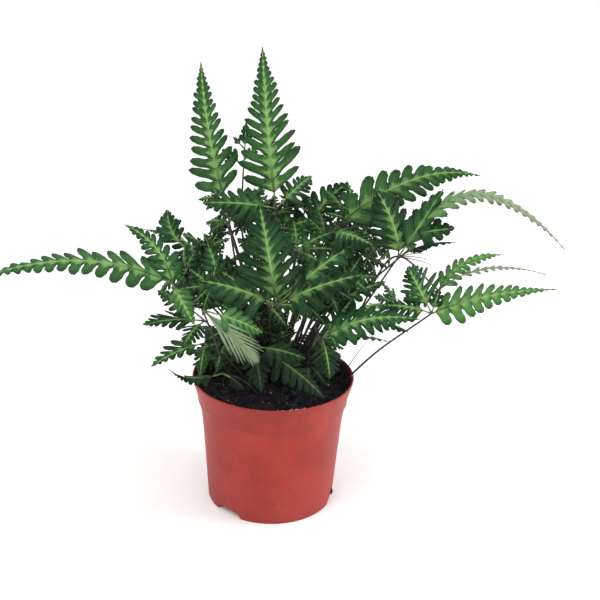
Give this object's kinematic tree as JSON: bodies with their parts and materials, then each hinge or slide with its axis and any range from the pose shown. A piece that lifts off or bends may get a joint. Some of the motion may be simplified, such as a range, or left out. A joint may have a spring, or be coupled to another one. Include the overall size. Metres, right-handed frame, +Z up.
{
  "type": "potted fern",
  "caption": "Young fern with deeply lobed arching and upright fronds on wiry stipes, growing in compost in a round flared nursery pot.",
  "frame": {"origin": "middle of the flat pad under the pot, on the surface that the pot stands on", "axes": "+Z up out of the pot, -Y towards the plant's front, +X to its right seen from the front"},
  "size_m": [0.403, 0.228, 0.336],
  "materials": {
    "pot": "satin terracotta-coloured moulded plastic with a few dirt specks",
    "soil": "moist dark compost with fine pale crumbs",
    "stipe": "wiry dark brown stipe with a slight sheen",
    "leaf": "satin green fern blade with a pale feathered midrib"
  },
  "bodies": {
    "root": {"pot": "pot", "soil": "soil", "stipe_tall_centre": "stipe", "stipe_tall_left": "stipe", "stipe_young": "stipe", "stipe_right_behind": "stipe", "stipe_right_high": "stipe", "stipe_right_arch": "stipe", "stipe_right_outer": "stipe", "stipe_right_low": "stipe", "stipe_front_right": "stipe", "stipe_centre_front": "stipe", "stipe_mid_left": "stipe", "stipe_mid_right": "stipe", "stipe_left_long": "stipe", "stipe_left_small": "stipe", "stipe_left_low": "stipe", "stipe_front_left_low": "stipe", "stipe_front_droop": "stipe", "stipe_turned": "stipe", "stipe_over_soil": "stipe", "stipe_back_left": "stipe", "stipe_back_centre": "stipe", "stipe_back_right": "stipe", "leaf_tall_centre": "leaf", "leaf_tall_left": "leaf", "leaf_young": "leaf", "leaf_right_behind": "leaf", "leaf_right_high": "leaf", "leaf_right_arch": "leaf", "leaf_right_outer": "leaf", "leaf_right_low": "leaf", "leaf_front_right": "leaf", "leaf_centre_front": "leaf", "leaf_mid_left": "leaf", "leaf_mid_right": "leaf", "leaf_left_long": "leaf", "leaf_left_small": "leaf", "leaf_left_low": "leaf", "leaf_front_left_low": "leaf", "leaf_front_droop": "leaf", "leaf_turned": "leaf", "leaf_over_soil": "leaf", "leaf_back_left": "leaf", "leaf_back_centre": "leaf", "leaf_back_right": "leaf"}
  },
  "joints": []
}
